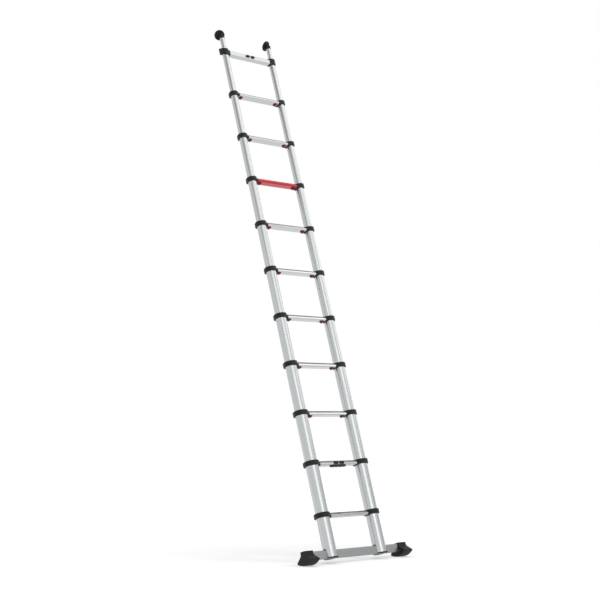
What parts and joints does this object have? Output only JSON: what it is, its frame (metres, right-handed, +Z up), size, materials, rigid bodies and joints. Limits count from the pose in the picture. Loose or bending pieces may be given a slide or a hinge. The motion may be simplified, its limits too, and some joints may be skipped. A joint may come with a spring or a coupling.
{
  "type": "telescopic ladder",
  "caption": "Leaning telescopic ladder: round stiles that slide into each other, bevelled rungs in lobed collars, a bar with curved rubber feet, and wall pads on posts.",
  "frame": {"origin": "on the floor, midway between the flats of the two soles", "axes": "+Z up, +X along the rungs to the right of a climber, +Y towards the wall the ladder leans on"},
  "size_m": [0.754, 1.105, 3.1646],
  "materials": {
    "tube": "drawn and anodised, satin",
    "rung": "extruded and anodised",
    "red_rung": "red powder coat",
    "bar": "extruded, mill finish",
    "post": "drawn and anodised, satin",
    "collar": "fine moulded grain",
    "end_cap": "moulded",
    "slider": "moulded, worn",
    "trigger": "moulded crimson",
    "foot": "matt rubber, dusty sole",
    "pad": "matt rubber",
    "pin": "turned steel"
  },
  "bodies": {
    "base": {"base_stiles": "tube", "base_collars": "collar", "rung_01": "rung", "rung_02": "rung", "stabiliser_bar": "bar", "stile_end_caps": "end_cap", "feet": "foot", "bar_fasteners": "pin", "release_grip": "slider"},
    "stage_03": {"stiles_03": "tube", "rung_03": "rung", "collars_03": "collar", "lock_pins_03": "pin"},
    "stage_04": {"stiles_04": "tube", "rung_04": "rung", "collars_04": "collar", "lock_pins_04": "pin"},
    "stage_05": {"stiles_05": "tube", "rung_05": "rung", "collars_05": "collar", "lock_pins_05": "pin"},
    "stage_06": {"stiles_06": "tube", "rung_06": "rung", "collars_06": "collar", "lock_pins_06": "pin"},
    "stage_07": {"stiles_07": "tube", "rung_07": "rung", "collars_07": "collar", "lock_pins_07": "pin"},
    "stage_08": {"stiles_08": "tube", "rung_08": "red_rung", "collars_08": "collar", "lock_pins_08": "pin"},
    "stage_09": {"stiles_09": "tube", "rung_09": "rung", "collars_09": "collar", "lock_pins_09": "pin"},
    "stage_10": {"stiles_10": "tube", "rung_10": "rung", "collars_10": "collar", "lock_pins_10": "pin"},
    "stage_11": {"stiles_11": "tube", "rung_11": "rung", "collars_11": "collar"},
    "trigger_pair_03": {"triggers_03": "trigger"},
    "trigger_pair_04": {"triggers_04": "trigger"},
    "trigger_pair_05": {"triggers_05": "trigger"},
    "trigger_pair_06": {"triggers_06": "trigger"},
    "trigger_pair_07": {"triggers_07": "trigger"},
    "trigger_pair_08": {"triggers_08": "trigger"},
    "trigger_pair_09": {"triggers_09": "trigger"},
    "trigger_pair_10": {"triggers_10": "trigger"},
    "release_left": {"release_slider_left": "slider"},
    "post_release_left": {"post_slider_left": "slider"},
    "release_right": {"release_slider_right": "slider"},
    "post_release_right": {"post_slider_right": "slider"},
    "post_left": {"post_left": "post"},
    "pad_left": {"wall_pad_left": "pad"},
    "post_right": {"post_right": "post"},
    "pad_right": {"wall_pad_right": "pad"}
  },
  "joints": [
    {"name": "stage_03_slide", "type": "slide", "parent": "base", "child": "stage_03", "axis": [0, 0.309, 0.9511], "range_m": [-0.253, 0]},
    {"name": "stage_04_slide", "type": "slide", "parent": "stage_03", "child": "stage_04", "axis": [0, 0.309, 0.9511], "range_m": [-0.253, 0]},
    {"name": "stage_05_slide", "type": "slide", "parent": "stage_04", "child": "stage_05", "axis": [0, 0.309, 0.9511], "range_m": [-0.253, 0]},
    {"name": "stage_06_slide", "type": "slide", "parent": "stage_05", "child": "stage_06", "axis": [0, 0.309, 0.9511], "range_m": [-0.253, 0]},
    {"name": "stage_07_slide", "type": "slide", "parent": "stage_06", "child": "stage_07", "axis": [0, 0.309, 0.9511], "range_m": [-0.253, 0]},
    {"name": "stage_08_slide", "type": "slide", "parent": "stage_07", "child": "stage_08", "axis": [0, 0.309, 0.9511], "range_m": [-0.253, 0]},
    {"name": "stage_09_slide", "type": "slide", "parent": "stage_08", "child": "stage_09", "axis": [0, 0.309, 0.9511], "range_m": [-0.253, 0]},
    {"name": "stage_10_slide", "type": "slide", "parent": "stage_09", "child": "stage_10", "axis": [0, 0.309, 0.9511], "range_m": [-0.253, 0]},
    {"name": "stage_11_slide", "type": "slide", "parent": "stage_10", "child": "stage_11", "axis": [0, 0.309, 0.9511], "range_m": [-0.253, 0]},
    {"name": "trigger_03_lift", "type": "slide", "parent": "stage_03", "child": "trigger_pair_03", "axis": [0, 0.309, 0.9511], "range_m": [0, 0.0045], "stiffness_N_per_m": 400, "springref_m": -0.004},
    {"name": "trigger_04_lift", "type": "slide", "parent": "stage_04", "child": "trigger_pair_04", "axis": [0, 0.309, 0.9511], "range_m": [0, 0.0045], "stiffness_N_per_m": 400, "springref_m": -0.004},
    {"name": "trigger_05_lift", "type": "slide", "parent": "stage_05", "child": "trigger_pair_05", "axis": [0, 0.309, 0.9511], "range_m": [0, 0.0045], "stiffness_N_per_m": 400, "springref_m": -0.004},
    {"name": "trigger_06_lift", "type": "slide", "parent": "stage_06", "child": "trigger_pair_06", "axis": [0, 0.309, 0.9511], "range_m": [0, 0.0045], "stiffness_N_per_m": 400, "springref_m": -0.004},
    {"name": "trigger_07_lift", "type": "slide", "parent": "stage_07", "child": "trigger_pair_07", "axis": [0, 0.309, 0.9511], "range_m": [0, 0.0045], "stiffness_N_per_m": 400, "springref_m": -0.004},
    {"name": "trigger_08_lift", "type": "slide", "parent": "stage_08", "child": "trigger_pair_08", "axis": [0, 0.309, 0.9511], "range_m": [0, 0.0045], "stiffness_N_per_m": 400, "springref_m": -0.004},
    {"name": "trigger_09_lift", "type": "slide", "parent": "stage_09", "child": "trigger_pair_09", "axis": [0, 0.309, 0.9511], "range_m": [0, 0.0045], "stiffness_N_per_m": 400, "springref_m": -0.004},
    {"name": "trigger_10_lift", "type": "slide", "parent": "stage_10", "child": "trigger_pair_10", "axis": [0, 0.309, 0.9511], "range_m": [0, 0.0045], "stiffness_N_per_m": 400, "springref_m": -0.004},
    {"name": "release_left_slide", "type": "slide", "parent": "base", "child": "release_left", "axis": [1, 0, 0], "range_m": [0, 0.004], "stiffness_N_per_m": 500, "springref_m": -0.004},
    {"name": "post_release_left_slide", "type": "slide", "parent": "stage_11", "child": "post_release_left", "axis": [1, 0, 0], "range_m": [0, 0.004], "stiffness_N_per_m": 500, "springref_m": -0.004},
    {"name": "release_right_slide", "type": "slide", "parent": "base", "child": "release_right", "axis": [-1, 0, 0], "range_m": [0, 0.004], "stiffness_N_per_m": 500, "springref_m": -0.004},
    {"name": "post_release_right_slide", "type": "slide", "parent": "stage_11", "child": "post_release_right", "axis": [-1, 0, 0], "range_m": [0, 0.004], "stiffness_N_per_m": 500, "springref_m": -0.004},
    {"name": "post_left_slide", "type": "slide", "parent": "stage_11", "child": "post_left", "axis": [0, 0.309, 0.9511], "range_m": [-0.052, 0]},
    {"name": "pad_left_swivel", "type": "hinge", "parent": "post_left", "child": "pad_left", "pos_m": [-0.184, 0.98329, 3.12552], "axis": [0, 0.309, 0.9511], "range_deg": [-45, 45]},
    {"name": "post_right_slide", "type": "slide", "parent": "stage_11", "child": "post_right", "axis": [0, 0.309, 0.9511], "range_m": [-0.052, 0]},
    {"name": "pad_right_swivel", "type": "hinge", "parent": "post_right", "child": "pad_right", "pos_m": [0.184, 0.98329, 3.12552], "axis": [0, 0.309, 0.9511], "range_deg": [-45, 45]}
  ]
}
